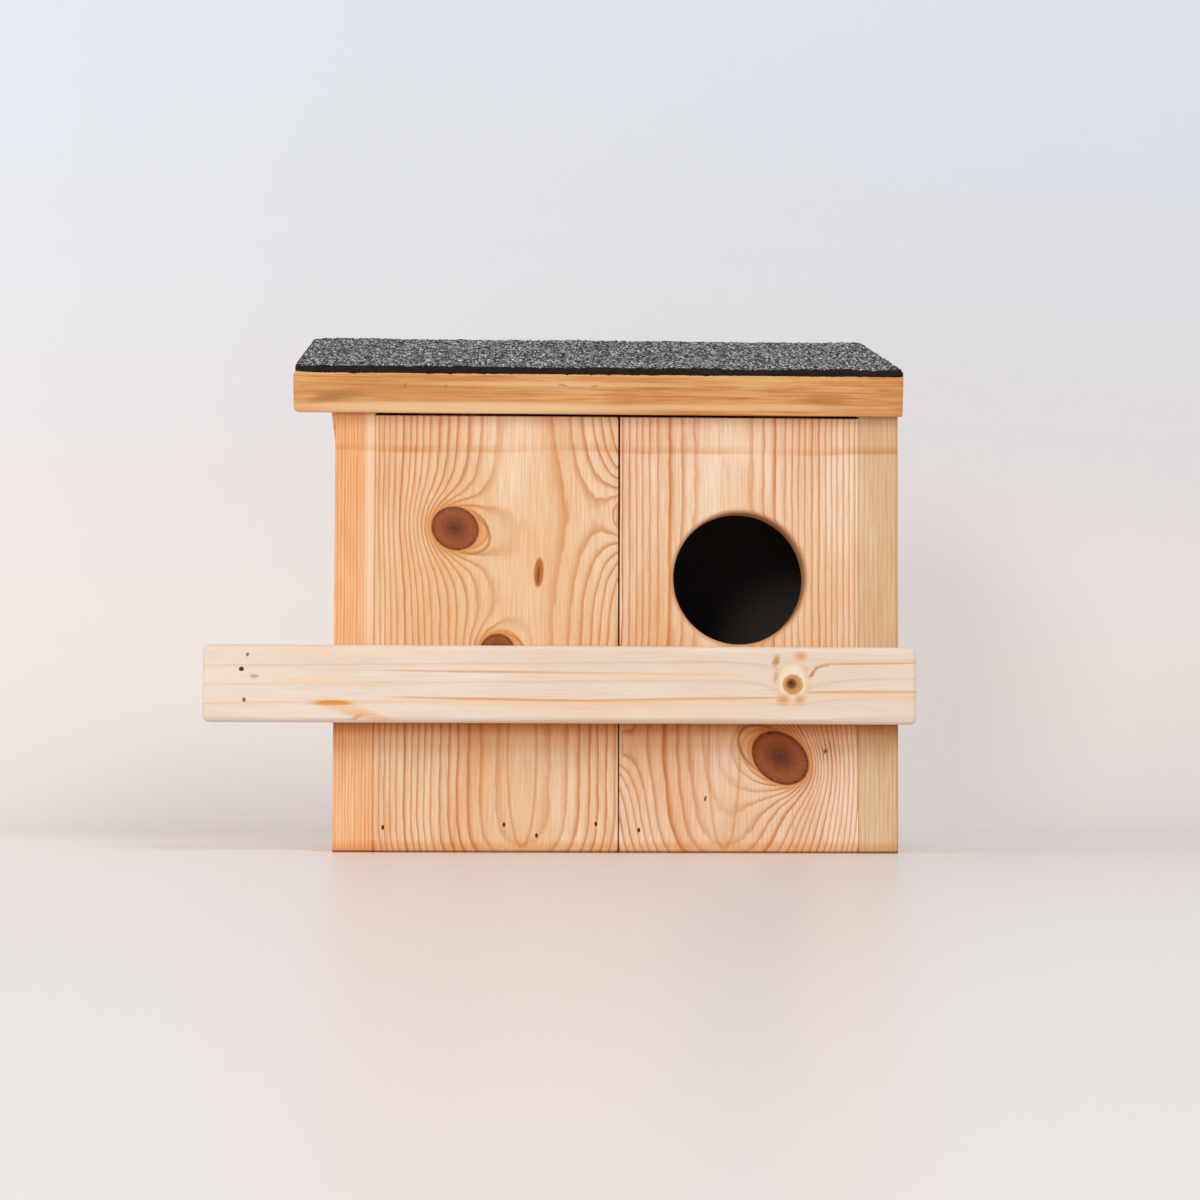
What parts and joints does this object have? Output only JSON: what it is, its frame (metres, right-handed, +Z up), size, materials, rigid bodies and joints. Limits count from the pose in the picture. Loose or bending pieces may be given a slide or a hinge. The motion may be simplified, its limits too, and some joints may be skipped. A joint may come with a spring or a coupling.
{
  "type": "birdhouse",
  "caption": "Nesting box of planed boards with a round off-centre entrance, a long perch bar across the front, a rear hanging batten and a hinged sloping felt-covered roof.",
  "frame": {"origin": "centre of the box on the underside of the floor; the box stands on z = 0", "axes": "+X to the right seen from the front, +Y to the rear, +Z up; the entrance faces -Y"},
  "size_m": [0.3511, 0.21, 0.2772],
  "materials": {
    "pine_board": "planed softwood, untreated",
    "pine_side": "planed softwood, untreated",
    "pine_bar": "planed pale softwood, rounded edges",
    "pine_roof": "planed softwood, weathered amber",
    "pine_batten": "planed softwood batten",
    "roofing_felt": "mineral-faced bitumen felt",
    "zinc_steel": "zinc plated",
    "bright_steel": "plain wire steel"
  },
  "bodies": {
    "box": {"side_wall_left": "pine_side", "side_wall_right": "pine_side", "front_board_left": "pine_board", "front_board_right": "pine_board", "back_board_left": "pine_board", "back_board_right": "pine_board", "floor_board": "pine_board", "perch_bar": "pine_bar", "hanging_batten": "pine_batten", "bar_screws": "zinc_steel", "batten_screws": "zinc_steel", "front_brads": "bright_steel", "back_brads": "bright_steel", "side_brads_left": "bright_steel", "side_brads_right": "bright_steel", "hinge_wall_leaf_left": "zinc_steel", "hinge_wall_leaf_right": "zinc_steel", "hinge_pin_left": "zinc_steel", "hinge_pin_right": "zinc_steel", "hinge_wall_screws_left": "zinc_steel", "hinge_wall_screws_right": "zinc_steel"},
    "roof": {"roof_board_front": "pine_roof", "roof_board_rear": "pine_roof", "roofing_felt": "roofing_felt", "roof_cleat_left": "pine_batten", "roof_cleat_right": "pine_batten", "cleat_screws": "zinc_steel", "hinge_roof_leaf_left": "zinc_steel", "hinge_roof_leaf_right": "zinc_steel", "hinge_roof_screws_left": "zinc_steel", "hinge_roof_screws_right": "zinc_steel"}
  },
  "joints": [
    {"name": "roof_hinge", "type": "hinge", "parent": "box", "child": "roof", "pos_m": [0, 0.0831, 0.25481], "axis": [-1, 0, 0], "range_deg": [0, 100]}
  ]
}
